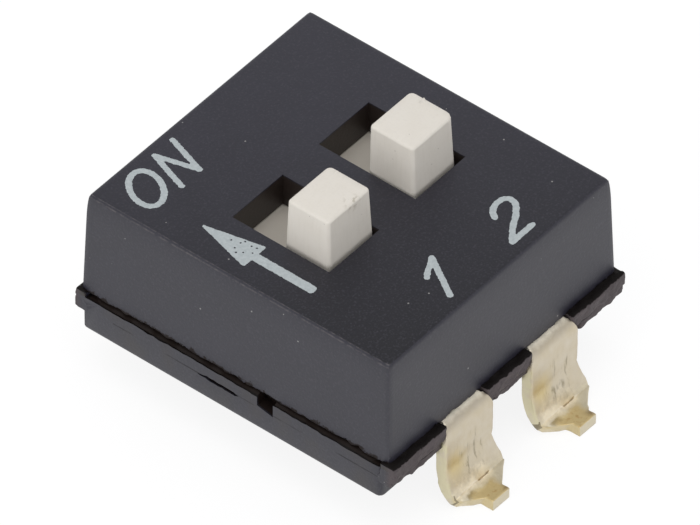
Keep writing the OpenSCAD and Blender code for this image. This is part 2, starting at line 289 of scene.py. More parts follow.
# crown the walls towards the top, round the top edge, then the standing corners, which run up over it
cut(cover, "z", [cover_high.z - depth for depth, lean in CROWN[:-1]])
for depth, lean in CROWN[1:]:
    pick(cover, "VERT", lambda at, way: close(at.z, cover_high.z - depth) and abs(at.x) > cover_high.x - WALL_T / 2
         or close(at.z, cover_high.z - depth) and abs(at.y) > cover_high.y - WALL_T / 2)
    bpy.ops.transform.resize(value=(1 - lean / cover_high.x, 1 - lean / cover_high.y, 1), center_override=(0, 0, 0))
pick(cover, "EDGE", lambda at, way: close(at.z, cover_high.z) and abs(way.z) < 0.1)
bpy.ops.mesh.bevel(offset=RIM_R, segments=8, profile=RIM_FULLNESS)
pick(cover, "EDGE", lambda at, way: close(abs(way.x), abs(way.y), 0.05) and abs(at.x) > cover_high.x - WALL_T)
bpy.ops.mesh.bevel(offset=CORNER_R, segments=8, profile=CORNER_FULLNESS)
pick(cover, "EDGE", lambda at, way: abs(way.z) > 0.9 and close(abs(at.x), cover_high.x - WALL_T))
bpy.ops.mesh.bevel(offset=INNER_R, segments=4)

# two windows: the top is scored along their sides, and the walls bridged from top to ceiling
slider_x = [(low.x + high.x) / 2 / MM for low, high in (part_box("slider_1"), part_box("slider_2"))]
cut(cover, "x", [x + side * WINDOW_W / 2 for x in slider_x for side in (-1, 1)])
cut(cover, "y", (-WINDOW_L / 2, WINDOW_L / 2))
for x in slider_x:
    pick(cover, "FACE", lambda at, way: abs(at.x - x) < 0.3 and abs(at.y) < 0.3 and abs(way.z) > 0.9)
    bpy.ops.mesh.bridge_edge_loops()
for x in slider_x:
    pick(cover, "EDGE", lambda at, way: close(at.z, cover_high.z) and abs(at.x - x) < WINDOW_W / 2 + 0.01
         and abs(at.y) < WINDOW_L / 2 + 0.01 and (close(abs(at.x - x), WINDOW_W / 2) or close(abs(at.y), WINDOW_L / 2)))
    bpy.ops.mesh.bevel(offset=WINDOW_R, segments=2)

# the lower rim: a thin band, waved and nicked along its straight runs, where the mould left flash
cut(cover, "z", [RIM_Z + RIM_BAND])


def on_rim(at):
    """Whether a point lies low on a straight run of the outside."""
    straight_x = abs(at.x) > cover_high.x - 0.1 and abs(at.y) < cover_high.y - 0.3
    straight_y = abs(at.y) > cover_high.y - 0.1 and abs(at.x) < cover_high.x - 0.3
    return at.z < RIM_Z + RIM_BAND - 0.02 and (straight_x or straight_y)


for cuts, offset, seed in RIM_WAVES:
    pick(cover, "EDGE", lambda at, way: on_rim(at) and close(at.z, RIM_Z, RIM_BAND - 0.02) and abs(way.z) < 0.6)
    bpy.ops.mesh.subdivide(number_cuts=cuts)
    pick(cover, "VERT", lambda at, way: on_rim(at))
    bpy.ops.transform.vertex_random(offset=offset, uniform=0.3, seed=seed)
for side in (-1, 1):
    pick(cover, "VERT", lambda at, way: on_rim(at) and at.x * side > cover_high.x - 0.15)
    bpy.ops.transform.resize(value=(FLAT, 1, 1), center_override=(side * cover_high.x, 0, 0))
    pick(cover, "VERT", lambda at, way: on_rim(at) and at.y * side > cover_high.y - 0.15)
    bpy.ops.transform.resize(value=(1, FLAT, 1), center_override=(0, side * cover_high.y, 0))

# PBT, injection moulded in a spark-eroded tool: near-black with a blue cast, satin, with a fine grain drawn
# coarse enough to show, painted shade that darkens its top towards the near corner, a few light specks, two painted
# highlight lines along the left top edge, painted seam shade in dark brown along the ragged left rim, and painted
# brown shade inside the windows
black_pbt, tree, shader, place = fresh("black_pbt_moulded")
cloud = node(tree, "TexNoise", {"Vector": place, "Scale": 1 / (0.9 * MM), "Detail": 4.0, "Roughness": 0.65})
tone = stain(linear("#1b1a26"), "#22212e", cloud)
# painted shade: the top is darkened, and its sheen lowered, towards the near corner
near_corner_shade = node(tree, "VectorMath", {0: place, 1: (0.64 / MM, 0.77 / MM, 0.0)}, operation="DOT_PRODUCT")
near_corner_shade = node(tree, "MapRange", {"Value": near_corner_shade.outputs["Value"], "From Min": -4.5, "From Max": 4.5,
                               "To Min": 0.95, "To Max": -0.40})
facing = node(tree, "SeparateXYZ", {0: node(tree, "NewGeometry").outputs["Normal"]})
level_face = node(tree, "MapRange", {"Value": facing.outputs["Z"], "From Min": 0.8, "From Max": 0.97})
near_corner_shade = node(tree, "Math", {0: near_corner_shade, 1: level_face}, operation="MULTIPLY")
tone = stain(tone, "#070712", near_corner_shade)
speckle = node(tree, "TexNoise", {"Vector": place, "Scale": 1 / (0.045 * MM), "Detail": 2.0})
speckle = node(tree, "MapRange", {"Value": speckle, "From Min": 0.52, "From Max": 0.75, "To Max": 0.45})
tone = stain(tone, "#3f3d47", speckle)
dust = node(tree, "TexVoronoi", {"Vector": place, "Scale": 1 / (0.5 * MM)})
dot = node(tree, "Math", {0: dust, 1: 0.035}, operation="LESS_THAN")
tone = stain(tone, "#8a8988", dot)
# painted highlight: two light lines on the roundings of the left top edge, broken into bits
edge_highlights = 0.0
for slope, spread in ((0.40, 0.14), (0.90, 0.05)):
    line = node(tree, "Math", {0: facing.outputs["Z"], 1: slope, 2: spread}, operation="COMPARE")
    edge_highlights = node(tree, "Math", {0: edge_highlights, 1: line}, operation="MAXIMUM")
left = node(tree, "Math", {0: facing.outputs["X"], 1: -0.2}, operation="LESS_THAN")
bits = node(tree, "TexNoise", {"Vector": place, "Scale": 1 / (0.10 * MM), "Detail": 3.0})
bits = node(tree, "MapRange", {"Value": bits, "From Min": 0.36, "From Max": 0.70})
tone = stain(tone, "#4c484b", edge_highlights, left, bits)
height = node(tree, "SeparateXYZ", {0: place})
# painted seam shade: the lower rim on the left is darkened to brown up to a ragged line, and dulled
ragged = node(tree, "TexNoise", {"Vector": place, "Scale": 1 / (0.16 * MM), "Detail": 4.0, "Roughness": 0.7})
ragged = node(tree, "Math", {0: ragged, 1: -0.5 * MM, 2: height.outputs["Z"]}, operation="MULTIPLY_ADD")
ragged = node(tree, "MapRange", {"Value": ragged, "From Min": (RIM_Z - 0.235) * MM,
                                 "From Max": (RIM_Z - 0.205) * MM, "To Min": 1.0, "To Max": 0.0})
ragged = node(tree, "Math", {0: ragged, 1: left}, operation="MULTIPLY")
on_cover = node(tree, "Math", {0: height.outputs["Z"], 1: (RIM_Z - 0.085) * MM}, operation="GREATER_THAN")
ragged = node(tree, "Math", {0: ragged, 1: on_cover}, operation="MULTIPLY")
tone = stain(tone, "#1d1614", ragged)
# painted shade: brown inside the windows, below the top
painted_shade_bounds = [node(tree, "Math", {0: height.outputs["Z"], 1: (cover_high.z - 0.03) * MM}, operation="LESS_THAN")]
for axis, reach in (("X", slider_x[1] + WINDOW_W / 2 + 0.1), ("Y", WINDOW_L / 2 + 0.01)):
    span = node(tree, "Math", {0: height.outputs[axis]}, operation="ABSOLUTE")
    painted_shade_bounds.append(node(tree, "Math", {0: span, 1: reach * MM}, operation="LESS_THAN"))
tone = stain(tone, "#241b17", *painted_shade_bounds)
dim = node(tree, "MapRange", {"Value": ragged, "To Min": 0.5, "To Max": 0.15})
dim = node(tree, "Math", {0: near_corner_shade, 1: -0.11, 2: dim}, operation="MULTIPLY_ADD")
tree.links.new(dim.outputs[0], shader.inputs["Specular IOR Level"])
tree.links.new(tone, shader.inputs["Base Color"])
shader.inputs["Roughness"].default_value = 0.45
shader.inputs["IOR"].default_value = 1.56
grain = node(tree, "TexNoise", {"Vector": place, "Scale": 1 / (0.06 * MM), "Detail": 2.0})
bump = node(tree, "Bump", {"Height": grain, "Distance": 0.004 * MM, "Strength": 0.8})
tree.links.new(bump.outputs["Normal"], shader.inputs["Normal"])

finish_piece(cover, black_pbt, "housing")
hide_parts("cover")

# ---------------------------------------------------------------------------
# Base. Black PBT tray moulded round the terminals: a band that shows under the
# cover, ledges and skirts between the legs, and inside the cover a ring with
# one channel for each slider. It left the mould with ragged edges.
# ---------------------------------------------------------------------------
base_low, base_high = (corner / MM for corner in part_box("base"))
WALL_Y, REAR_WALL_Y = 3.585, 3.615       # walls behind the legs
LOW_EDGE_R = 0.12
RECESS_MARGIN, RECESS_T = 0.75, 0.10     # in the underside
PARTING_Z, PARTING_W = 1.618, 0.030      # the line where the two halves of the mould met
SHOULDER = RIM_Z - 0.10                  # the cover's rim stands open above it
SILL_X, SILL_Y = 3.22, 3.50
RING_X, RING_Y, RING_R = 2.85, 3.215, 0.16
WELL_W, CHANNEL_W, CHANNEL_L = 1.66, 2.10, 5.10
WELL_Z, CHANNEL_Z, OPEN_Z = 1.95, 3.14, 4.0   # their floors, and a height clear of the ring
NOTCH_Y = (-0.98, -0.60)
CREVICE_Y, CREVICE_Z = (-0.14, 0.83), (1.575, 1.645)
LEDGE_END = 0.60                         # the ledges stop this far from the middle of each leg
# for each side: its direction, the rounding of its bars, and each bar's near, far, low, high and set-back on the left
BARS = (("front", -1, 0.045, ((3.55, 3.905, 1.66, 2.005, 0.0), (3.50, 3.85, 1.42, 1.70, 0.28))),
        ("rear", 1, 0.070, ((3.55, 3.835, 1.79, 2.02, 0.0), (3.50, 3.850, 1.53, 1.80, 0.0))))

base = block("base_tray", (base_low.x, -WALL_Y, base_low.z), (base_high.x, REAR_WALL_Y, SHOULDER))

# underside: a shallow recess
pick(base, "FACE", lambda at, way: way.z < -0.9)
bpy.ops.mesh.inset(thickness=RECESS_MARGIN)
bpy.ops.mesh.extrude_region_move(TRANSFORM_OT_translate={"value": (0, 0, RECESS_T)})

# low edges, and standing corners, sharper at the rear
pick(base, "EDGE", lambda at, way: close(at.z, base_low.z) and abs(way.z) < 0.1
     and (abs(at.x) > 3.2 or abs(at.y) > 3.4))
bpy.ops.mesh.bevel(offset=LOW_EDGE_R, segments=4)
for side, end_r in ((-1, 0.10), (1, 0.03)):
    pick(base, "EDGE", lambda at, way: at.y * side > WALL_Y - 0.13 and abs(at.x) > base_high.x - 0.13
         and abs(way.z) > 0.3)
    bpy.ops.mesh.bevel(offset=end_r, segments=3)

# low sill that the cover's walls sit on
sill = block("sill", (-SILL_X, -SILL_Y, SHOULDER - 0.1), (SILL_X, SILL_Y, RIM_Z - 0.012))
combine(base, sill, "UNION")

# ring inside the cover, and the channels cut down into it
ring = block("ring", (-RING_X, -RING_Y, SHOULDER - 0.1), (RING_X, RING_Y, base_high.z))
pick(ring, "EDGE", lambda at, way: abs(way.z) > 0.9)
bpy.ops.mesh.bevel(offset=RING_R, segments=3)
combine(base, ring, "UNION")
for x in slider_x:
    for name, wide, floor in (("well", WELL_W, WELL_Z), ("channel", CHANNEL_W, CHANNEL_Z)):
        hollow = block(name, (x - wide / 2, -CHANNEL_L / 2, floor), (x + wide / 2, CHANNEL_L / 2, OPEN_Z))
        combine(base, hollow, "DIFFERENCE")

# pry notch under the rim, its floor a little askew
notch = block("notch", (base_low.x - 0.5, NOTCH_Y[0], 1.66), (base_low.x + 0.30, NOTCH_Y[1], 3.0))
pick(notch, "EDGE", lambda at, way: at.z < 1.7 and abs(way.x) > 0.9 and at.y < -0.9)
bpy.ops.transform.translate(value=(0, 0, -0.08))
combine(base, notch, "DIFFERENCE")

# torn crevice along the groove, thin at both ends
crevice = block("crevice", (base_low.x - 0.3, CREVICE_Y[0], CREVICE_Z[0]),
                (base_low.x + 0.16, CREVICE_Y[1], CREVICE_Z[1]))
cut(crevice, "y", [CREVICE_Y[0] + 0.097 * step for step in range(1, 10)])
pick(crevice, "VERT", lambda at, way: True)
bpy.ops.transform.vertex_random(offset=0.022, uniform=0.8, seed=11)
for end in CREVICE_Y:
    pick(crevice, "VERT", lambda at, way: close(at.y, end, 0.05))
    bpy.ops.transform.resize(value=(1, 1, 0.15), center_override=(0, 0, 1.60))
combine(base, crevice, "DIFFERENCE")

# ledges between the legs: two bars one on the other, grown together, lumpy and torn at their edges
torn = bpy.data.textures.new("torn_plastic", "CLOUDS")
torn.noise_scale, torn.noise_depth = 0.22, 4
stops = [base_low.x, slider_x[0] - LEDGE_END, slider_x[0] + LEDGE_END, slider_x[1] - LEDGE_END,
         slider_x[1] + LEDGE_END, base_high.x]
ledges = None
for name, side, bar_r, bars in BARS:
    for left, right in zip(stops[0::2], stops[1::2]):
        for near, far, low, high, shy in bars:
            start = left + shy if left > base_low.x else left
            bar = block("%s_ledge" % name, (start, min(side * near, side * far), low),
                        (right, max(side * near, side * far), high))
            pick(bar, "EDGE", lambda at, way: True)
            bpy.ops.mesh.bevel(offset=bar_r, segments=2)
            take(bar)
            if ledges:
                ledges.select_set(True)
                bpy.context.view_layer.objects.active = ledges
                bpy.ops.object.join()
            ledges = bpy.context.object
apply(ledges, "REMESH", mode="VOXEL", voxel_size=0.026)
apply(ledges, "DISPLACE", texture=torn, texture_coords="LOCAL", strength=0.09, mid_level=0.5)
pick(ledges, "VERT", lambda at, way: at.x < -2.85 and at.y < 0 and at.z < 1.56)
bpy.ops.transform.translate(value=(0, 0, 0.07))
pick(ledges, "VERT", lambda at, way: abs(at.x) < 0.7 and at.y < 0 and at.z < 1.56)
bpy.ops.transform.translate(value=(0, 0, 0.04))
for side in (-1, 1):
    pick(ledges, "VERT", lambda at, way: at.x * side > base_high.x - 0.06)
    bpy.ops.transform.resize(value=(0.1, 1, 1), center_override=(side * (base_high.x + 0.006), 0, 0))
apply(ledges, "REMESH", mode="VOXEL", voxel_size=0.024)
combine(base, ledges, "UNION")

# ragged shoulder along the sides, scored across so that it can be pushed about
cut(base, "y", [0.12 * step for step in range(-27, 28)])
pick(base, "VERT", lambda at, way: close(at.z, SHOULDER) and abs(at.y) < WALL_Y - 0.2)
bpy.ops.transform.vertex_random(offset=0.022, uniform=0.5, seed=8)
for side in (-1, 1):
    pick(base, "VERT", lambda at, way: close(at.z, SHOULDER, 0.03) and at.x * side > 3.2
         and abs(at.y) < WALL_Y - 0.2)
    bpy.ops.transform.resize(value=(0.2, 1, 1), center_override=(side * base_high.x, 0, 0))

pick(base, "VERT", lambda at, way: True)
bpy.ops.mesh.remove_doubles(threshold=0.0008)
bpy.ops.mesh.dissolve_degenerate(threshold=0.0005)

# the same PBT, brown and rough where the ledges broke from the mould's flash, with painted shade, dark and dull, on
# the upward faces in the gap under the cover, painted brown shade inside it, and a faint parting line on the sides
torn_pbt = black_pbt.copy()
torn_pbt.name = "black_pbt_torn_edges"
tree = torn_pbt.node_tree
shader = tree.nodes["Principled BSDF"]
place = node(tree, "TexCoord").outputs["Object"]
across = node(tree, "SeparateXYZ", {0: place})
outward = node(tree, "Math", {0: across.outputs["Y"]}, operation="ABSOLUTE")
facing = node(tree, "SeparateXYZ", {0: node(tree, "NewGeometry").outputs["Normal"]})
broken = node(tree, "MapRange", {"Value": outward, "From Min": 3.66 * MM, "From Max": 3.80 * MM})
flakes = node(tree, "TexNoise", {"Vector": place, "Scale": 1 / (0.12 * MM), "Detail": 4.0, "Roughness": 0.7})
# painted shade: faces that look up, above the shoulder, in the gap under the cover, are darkened and dulled
uneven = node(tree, "Math", {0: flakes, 1: 1.4, 2: facing.outputs["Z"]}, operation="MULTIPLY_ADD")
steep = node(tree, "MapRange", {"Value": uneven, "From Min": 1.15, "From Max": 1.35})
above = node(tree, "Math", {0: across.outputs["Z"], 1: (SHOULDER - 0.04) * MM}, operation="GREATER_THAN")
gap_shade = node(tree, "Math", {0: steep, 1: above}, operation="MULTIPLY")
parting = node(tree, "Math", {0: across.outputs["Z"], 1: PARTING_Z * MM, 2: PARTING_W / 2 * MM}, operation="COMPARE")
forward = node(tree, "Math", {0: across.outputs["Y"], 1: 2.9 * MM}, operation="LESS_THAN")
wear = node(tree, "TexNoise", {"Vector": place, "Scale": 1 / (0.6 * MM), "Detail": 2.0})
wear = node(tree, "MapRange", {"Value": wear, "From Min": 0.40, "From Max": 0.60, "To Max": 0.7})
parting = node(tree, "Math", {0: parting, 1: forward}, operation="MULTIPLY")
parting = node(tree, "Math", {0: parting, 1: wear}, operation="MULTIPLY")
brown = stain(linear("#2c2628"), "#5f5557", flakes)
plain = shader.inputs["Base Color"].links[0].from_socket
warm = node(tree, "TexNoise", {"Vector": place, "Scale": 1 / (0.7 * MM), "Detail": 3.0})
warm = node(tree, "MapRange", {"Value": warm, "From Min": 0.45, "From Max": 0.75, "To Max": 0.6})
plain = stain(plain, "#2b2421", warm)
tone = node(tree, "Mix", {0: broken, 6: plain, 7: brown}, data_type="RGBA").outputs[2]
tone = stain(tone, "#120e0d", gap_shade)
tone = stain(tone, "#070606", parting)
# painted shade: brown on everything under the cover, inside the sill
aside = node(tree, "Math", {0: across.outputs["X"]}, operation="ABSOLUTE")
under_cover_shade = node(tree, "Math", {0: aside, 1: 3.395 * MM}, operation="LESS_THAN")
for value, bound, sign in ((outward, SILL_Y, "LESS_THAN"), (across.outputs["Z"], 1.50, "GREATER_THAN")):
    painted_shade_bounds = node(tree, "Math", {0: value, 1: bound * MM}, operation=sign)
    under_cover_shade = node(tree, "Math", {0: under_cover_shade, 1: painted_shade_bounds}, operation="MULTIPLY")
tone = stain(tone, "#1f1815", under_cover_shade)
tree.links.new(tone, shader.inputs["Base Color"])
dim = node(tree, "Math", {0: gap_shade, 1: under_cover_shade}, operation="MAXIMUM")
dim = node(tree, "Math", {0: dim, 1: parting}, operation="MAXIMUM")
dim = node(tree, "MapRange", {"Value": dim, "To Min": 0.5, "To Max": 0.12})
tree.links.new(dim.outputs["Result"], shader.inputs["Specular IOR Level"])
dull = node(tree, "MapRange", {"Value": broken, "To Min": 0.45, "To Max": 0.75})
tree.links.new(dull.outputs["Result"], shader.inputs["Roughness"])
height = node(tree, "Math", {0: broken, 1: flakes}, operation="MULTIPLY")
fine = shader.inputs["Normal"].links[0].from_socket
chips = node(tree, "Bump", {"Height": height, "Distance": 0.02 * MM, "Normal": fine})
tree.links.new(chips.outputs["Normal"], shader.inputs["Normal"])

finish_piece(base, torn_pbt, "housing")
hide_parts("base")

# ---------------------------------------------------------------------------
# Sliders. Cream PBT: a tapered knob on a flat shoe that runs under the cover,
# with a nib on each side for the detents. The two differ a little in how they
# were moulded and how they sit in their windows.
# ---------------------------------------------------------------------------
KNOB_W, KNOB_L = 1.19, 0.985
ROOT_W, ROOT_L = 1.366, 1.12
SHOE_W, SHOE_L, SHOE_T, SHOE_TOP = 1.90, 3.80, 0.45, 3.62
SHOE_R, TOP_R = 0.04, 0.06
NIB_R, NIB_X = 0.15, 0.92
OFF_DRAFT, ON_DRAFT = math.radians(3.3), math.radians(1.0)
LEAN_OUT = 0.045                          # of the right-hand side
FLASH_X, FLASH_HALF = 0.13, 0.035         # width of the strip that is scored off, half length of a bit of flash
# how each knob sits and differs: play across the window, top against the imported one, lean of its ON side, rounding
# of its near right corner, and its bits of flash, each so far from the middle and so high
KNOBS = ((0.025, -0.025, 0.0, 0.08, ((0.30, 0.030), (0.16, 0.018), (-0.22, 0.015))),
         (-0.035, 0.030, 0.06, 0.18, ((0.24, 0.060), (-0.10, 0.015), (-0.28, 0.020))))

# PBT, injection moulded: warm cream, satin, faintly clouded and streaked, with painted shade on the shoe and at the
# foot of the knob, with crumbs on one top and a few specks
cream_pbt, tree, shader, place = fresh("cream_pbt_moulded")
cloud = node(tree, "TexNoise", {"Vector": place, "Scale": 1 / (0.35 * MM), "Detail": 4.0, "Roughness": 0.6})
tone = stain(linear("#ddd7cc"), "#e4dfd6", cloud)
drawn = node(tree, "Mapping", {0: place, 3: (1.0, 1.0, 0.12)})
drawn = node(tree, "TexNoise", {"Vector": drawn, "Scale": 1 / (0.06 * MM), "Detail": 2.0})
drawn = node(tree, "MapRange", {"Value": drawn, "From Min": 0.5, "From Max": 0.8, "To Max": 0.15})
tone = stain(tone, "#c9c1b3", drawn)
scuff = node(tree, "VectorMath", {0: place, 1: Vector((slider_x[0] + 0.18, -1.02, cover_high.z + 1.05)) * MM},
             operation="DISTANCE")
scuff = node(tree, "MapRange", {"Value": scuff.outputs["Value"], "From Min": 0.10 * MM, "From Max": 0.26 * MM,
                                "To Min": 1.0, "To Max": 0.0})
crumbs = node(tree, "TexNoise", {"Vector": place, "Scale": 1 / (0.10 * MM), "Detail": 3.0})
crumbs = node(tree, "MapRange", {"Value": crumbs, "From Min": 0.52, "From Max": 0.60, "To Max": 0.6})
tone = stain(tone, "#a59c8a", scuff, crumbs)
smut = node(tree, "TexVoronoi", {"Vector": place, "Scale": 1 / (0.30 * MM)})
smut = node(tree, "Math", {0: smut, 1: 0.05}, operation="LESS_THAN")
tone = stain(tone, "#8d877c", 0.4, smut)
# painted shade: the shoe and the foot of the knob are darker
foot_shade = node(tree, "SeparateXYZ", {0: place})
foot_shade = node(tree, "MapRange", {"Value": foot_shade.outputs["Z"], "From Min": (SHOE_TOP + 0.02) * MM,
                               "From Max": (SHOE_TOP + 0.12) * MM, "To Min": 0.6, "To Max": 0.0})
tone = stain(tone, "#aba397", foot_shade)
tree.links.new(tone, shader.inputs["Base Color"])
gloss = node(tree, "MapRange", {"Value": cloud, "To Min": 0.40, "To Max": 0.55})
tree.links.new(gloss.outputs["Result"], shader.inputs["Roughness"])
grain = node(tree, "TexNoise", {"Vector": place, "Scale": 1 / (0.07 * MM), "Detail": 3.0})
bump = node(tree, "Bump", {"Height": grain, "Distance": 0.004 * MM, "Strength": 0.6})
tree.links.new(bump.outputs["Normal"], shader.inputs["Normal"])

for number, (x, (play, taller, lean, near_r, flash)) in enumerate(zip(slider_x, KNOBS), 1):
    low, high = (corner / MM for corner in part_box("slider_%d" % number))
    middle = (low.y + high.y) / 2
    slider = block("slider_body_%d" % number, (x - SHOE_W / 2, middle - SHOE_L / 2, SHOE_TOP - SHOE_T),
                   (x + SHOE_W / 2, middle + SHOE_L / 2, SHOE_TOP))
    pick(slider, "EDGE", lambda at, way: True)
    bpy.ops.mesh.bevel(offset=SHOE_R, segments=2)
    for side in (-1, 1):
        take()
        bpy.ops.mesh.primitive_cylinder_add(vertices=24, radius=NIB_R, depth=SHOE_T - 0.02,
                                            location=(x + side * NIB_X, middle, SHOE_TOP - SHOE_T / 2))
        combine(slider, bpy.context.object, "UNION")

    # knob: tapered, steeper on the ON side, each standing corner rounded in its own way
    top_z = high.z + taller
    knob = block("knob", (x - ROOT_W / 2, middle - ROOT_L / 2, SHOE_TOP - 0.05),
                 (x + ROOT_W / 2, middle + ROOT_L / 2, top_z))
    rise = top_z - SHOE_TOP + 0.05
    pick(knob, "FACE", lambda at, way: way.z > 0.9)
    bpy.ops.transform.resize(value=(KNOB_W / ROOT_W, KNOB_L / ROOT_L, 1), center_override=(x, middle, top_z))
    bpy.ops.transform.translate(value=(0, rise * (math.tan(OFF_DRAFT) - math.tan(ON_DRAFT)) / 2, 0))
    pick(knob, "VERT", lambda at, way: close(at.z, top_z) and at.y > middle)
    bpy.ops.transform.translate(value=(0, lean, 0))
    pick(knob, "VERT", lambda at, way: close(at.z, top_z) and at.x > x)
    bpy.ops.transform.translate(value=(LEAN_OUT, 0, 0))
    for side_x, side_y, corner_r in ((1, 1, 0.11), (1, -1, near_r), (-1, -1, 0.09), (-1, 1, 0.08)):
        pick(knob, "EDGE", lambda at, way: abs(way.z) > 0.9 and (at.x - x) * side_x > 0
             and (at.y - middle) * side_y > 0)
        bpy.ops.mesh.bevel(offset=corner_r, segments=4)
    pick(knob, "EDGE", lambda at, way: close(at.z, top_z))
    bpy.ops.mesh.bevel(offset=TOP_R, segments=3)

    # bits of flash along the right-hand top edge, scored off so that the rest of the top stays flat
    cut(knob, "x", [x + KNOB_W / 2 - FLASH_X])
    for reach, lift in flash:
        cut(knob, "y", [middle + reach + step for step in (-FLASH_HALF, 0, FLASH_HALF)])
        pick(knob, "VERT", lambda at, way: close(at.z, top_z) and close(at.y, middle + reach)
             and at.x > x + KNOB_W / 2 - FLASH_X + 0.05)
        bpy.ops.transform.translate(value=(0.01, 0, lift))
    knob.location.x = play
    combine(slider, knob, "UNION")
    finish_piece(slider, cream_pbt, "position_%d" % number)
    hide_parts("slider_%d" % number)

# ---------------------------------------------------------------------------
# Moving contacts. Copper alloy spring strip under each shoe, bridging the two
# pads, flashed with gold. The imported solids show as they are.
# ---------------------------------------------------------------------------
gold_flash, tree, shader, place = fresh("gold_flashed_copper_spring")
rolled = node(tree, "Mapping", {0: place, 3: (1.0, 0.08, 1.0)})
lines = node(tree, "TexNoise", {"Vector": rolled, "Scale": 1 / (0.05 * MM), "Detail": 3.0})
tone = stain(linear("#d8b26a"), "#ecce90", lines)
tree.links.new(tone, shader.inputs["Base Color"])
shader.inputs["Metallic"].default_value = 1.0
gloss = node(tree, "MapRange", {"Value": lines, "To Min": 0.22, "To Max": 0.40})
tree.links.new(gloss.outputs["Result"], shader.inputs["Roughness"])
bump = node(tree, "Bump", {"Height": lines, "Distance": 0.002 * MM})
tree.links.new(bump.outputs["Normal"], shader.inputs["Normal"])
for number in (1, 2):
    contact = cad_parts["moving_contact_%d" % number]
    contact.data.materials.clear()
    contact.data.materials.append(gold_flash)

# ---------------------------------------------------------------------------
# Terminals. Stamped brass strip, 0.25 mm thick, plated, moulded into the base
# and bent down over the side of the ledge into a gull-wing foot. The blank
# widens at the bend and narrows to a toe. One leg is bent up, then copied.
# ---------------------------------------------------------------------------
STRIP_T = 0.25
STRIP_W, LEG_LEFT, LEG_RIGHT, HEEL_RIGHT, TOE_W = 1.06, 0.71, 0.655, 0.755, 0.49
KNEE_R, HEEL_R = 0.28, 0.50
LEG_Y, CREASE_Y, TOE_Y = 3.965, 4.155, 4.725
LEAN_Z, LEAN = 0.88, math.radians(16.8)
PITCH = 2.54
BLOT = 0.25                               # how far the edges of a stain wander
# how each switch's legs were struck: toe across and out, right edge above the bend, left edge of the foot
STRUCK = ((0.0, 0.0, 0.030, -0.025), (0.02, -0.02, 0.015, 0.0))
floor_z = cover_low.z - 0.11
back_z = LEAN_Z - STRIP_T * math.tan(LEAN / 2)
heel_y = LEG_Y - STRIP_T + (back_z - HEEL_R) * math.tan(LEAN) + HEEL_R / math.cos(LEAN)


def heel(turn):
    """Point on the round back of the heel, at a turn in degrees."""
    return heel_y + HEEL_R * math.cos(math.radians(turn)), HEEL_R + HEEL_R * math.sin(math.radians(turn))


# cross sections along the bend: point on the outer face, point on the inner face, width to the left and to the right
sections = [((WALL_Y, floor_z), (WALL_Y, floor_z - STRIP_T), STRIP_W / 2, STRIP_W / 2)]
for step in range(1, 9):
    turn = math.radians(90 * step / 8)
    swell = min(1, (math.sin(turn) + 1 - math.cos(turn)) * 0.7071 * KNEE_R / 0.38)
    sections.append(((LEG_Y - KNEE_R + KNEE_R * math.sin(turn), floor_z - KNEE_R + KNEE_R * math.cos(turn)),
                     (LEG_Y - KNEE_R + 0.03 * math.sin(turn), floor_z - KNEE_R + 0.03 * math.cos(turn)),
                     STRIP_W / 2 + (LEG_LEFT - STRIP_W / 2) * swell, STRIP_W / 2 + (LEG_RIGHT - STRIP_W / 2) * swell))
for height in (1.5, 1.3, 1.1):
    sections.append(((LEG_Y, height), (LEG_Y - STRIP_T, height), LEG_LEFT, LEG_RIGHT))
sections += [
    ((LEG_Y, LEAN_Z), (LEG_Y - STRIP_T, back_z), LEG_LEFT, LEG_RIGHT),
    ((4.009, 0.735), (3.757, 0.705), 0.725, 0.672),
    ((4.055, 0.580), (3.800, 0.565), 0.735, 0.705),
    ((4.100, 0.430), heel(196.8), 0.715, HEEL_RIGHT),
    ((4.130, 0.335), heel(213), 0.690, HEEL_RIGHT),
    ((CREASE_Y, STRIP_T), heel(228), 0.675, HEEL_RIGHT),
    ((4.195, STRIP_T), heel(235), 0.665, HEEL_RIGHT),
    ((4.285, STRIP_T), heel(247), 0.609, 0.609),
    ((4.375, STRIP_T), heel(258), 0.487, 0.487),
    ((4.465, STRIP_T), (4.34, 0), 0.366, 0.366),
    ((4.555, STRIP_T), (4.42, 0), TOE_W / 2, TOE_W / 2),
    ((4.640, STRIP_T), (4.59, 0), TOE_W / 2, TOE_W / 2),
    ((TOE_Y, STRIP_T), (TOE_Y, 0), TOE_W / 2, TOE_W / 2)]

leg = block("leg", (-STRIP_W / 2, -WALL_Y, floor_z - STRIP_T), (STRIP_W / 2, -3.4, floor_z))
cut(leg, "x", [STRIP_W * (step / 12 - 0.5) for step in range(1, 12)])
pick(leg, "FACE", lambda at, way: way.y < -0.9)
for (out0, in0, left0, right0), (out1, in1, left1, right1) in zip(sections, sections[1:]):
    pivot = ((right1 - left1) / 2, -out1[0], out1[1])
    before = Vector(in0) - Vector(out0)
    after = Vector(in1) - Vector(out1)
    grow = after.length / before.length
    bend = math.atan2(after.y, after.x) - math.atan2(before.y, before.x)
    bpy.ops.mesh.extrude_region_move(TRANSFORM_OT_translate={
        "value": ((right1 - left1 - right0 + left0) / 2, out0[0] - out1[0], out1[1] - out0[1])})
    bpy.ops.transform.rotate(value=bend, orient_axis="X", center_override=pivot)
    bpy.ops.transform.resize(value=((left1 + right1) / (left0 + right0), grow, grow), center_override=pivot)
bpy.ops.mesh.select_all(action="SELECT")
bpy.ops.mesh.normals_make_consistent(inside=False)

